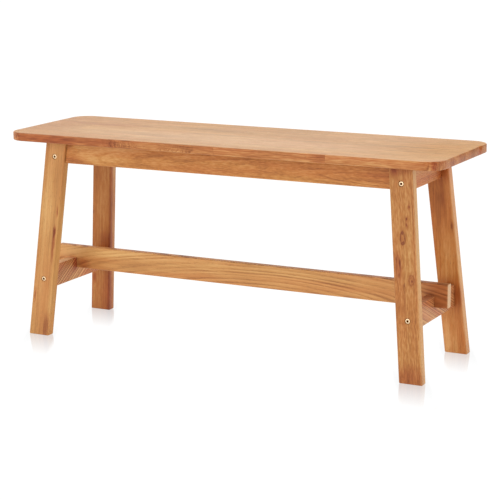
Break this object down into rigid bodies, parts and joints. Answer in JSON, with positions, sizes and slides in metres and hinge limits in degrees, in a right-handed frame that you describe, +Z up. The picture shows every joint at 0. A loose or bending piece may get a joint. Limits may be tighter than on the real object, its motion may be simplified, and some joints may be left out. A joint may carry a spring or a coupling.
{
  "type": "wooden bench",
  "caption": "Long backless wooden bench with a round-cornered slab seat, splayed board legs, aprons under the seat, low cross rails and a lapped stretcher.",
  "frame": {"origin": "on the floor, under the middle of the seat", "axes": "+X along the bench, +Y across it towards the back, +Z up"},
  "size_m": [1, 0.3, 0.45],
  "materials": {
    "seat": "oiled hardwood staves, pale pinkish tan, satin",
    "leg": "oiled hardwood, honey brown, satin",
    "apron": "oiled hardwood, golden brown, satin",
    "cross_rail": "oiled hardwood, pinkish brown, satin",
    "stretcher": "oiled hardwood, golden, satin",
    "bolt": "pale yellow plated steel, satin",
    "nut": "zinc plated steel",
    "screw": "zinc plated steel",
    "dowel": "plain beech, unfinished"
  },
  "bodies": {
    "root": {"back_left_cross_rail_bolt": "bolt", "back_left_cross_rail_dowel": "dowel", "back_left_cross_rail_nut": "nut", "back_left_end_apron_bolt": "bolt", "back_left_end_apron_dowel": "dowel", "back_left_end_apron_nut": "nut", "back_left_leg": "leg", "back_left_lower_apron_dowel": "dowel", "back_left_upper_apron_dowel": "dowel", "back_long_apron": "apron", "back_right_cross_rail_bolt": "bolt", "back_right_cross_rail_dowel": "dowel", "back_right_cross_rail_nut": "nut", "back_right_end_apron_bolt": "bolt", "back_right_end_apron_dowel": "dowel", "back_right_end_apron_nut": "nut", "back_right_leg": "leg", "back_right_lower_apron_dowel": "dowel", "back_right_upper_apron_dowel": "dowel", "back_seat_screw_1": "screw", "back_seat_screw_2": "screw", "back_seat_screw_3": "screw", "front_left_cross_rail_bolt": "bolt", "front_left_cross_rail_dowel": "dowel", "front_left_cross_rail_nut": "nut", "front_left_end_apron_bolt": "bolt", "front_left_end_apron_dowel": "dowel", "front_left_end_apron_nut": "nut", "front_left_leg": "leg", "front_left_lower_apron_dowel": "dowel", "front_left_upper_apron_dowel": "dowel", "front_long_apron": "apron", "front_right_cross_rail_bolt": "bolt", "front_right_cross_rail_dowel": "dowel", "front_right_cross_rail_nut": "nut", "front_right_end_apron_bolt": "bolt", "front_right_end_apron_dowel": "dowel", "front_right_end_apron_nut": "nut", "front_right_leg": "leg", "front_right_lower_apron_dowel": "dowel", "front_right_upper_apron_dowel": "dowel", "front_seat_screw_1": "screw", "front_seat_screw_2": "screw", "front_seat_screw_3": "screw", "left_cross_rail": "cross_rail", "left_end_apron": "apron", "left_lap_screw": "screw", "left_seat_screw": "screw", "right_cross_rail": "cross_rail", "right_end_apron": "apron", "right_lap_screw": "screw", "right_seat_screw": "screw", "seat_panel": "seat", "stretcher": "stretcher"}
  },
  "joints": []
}
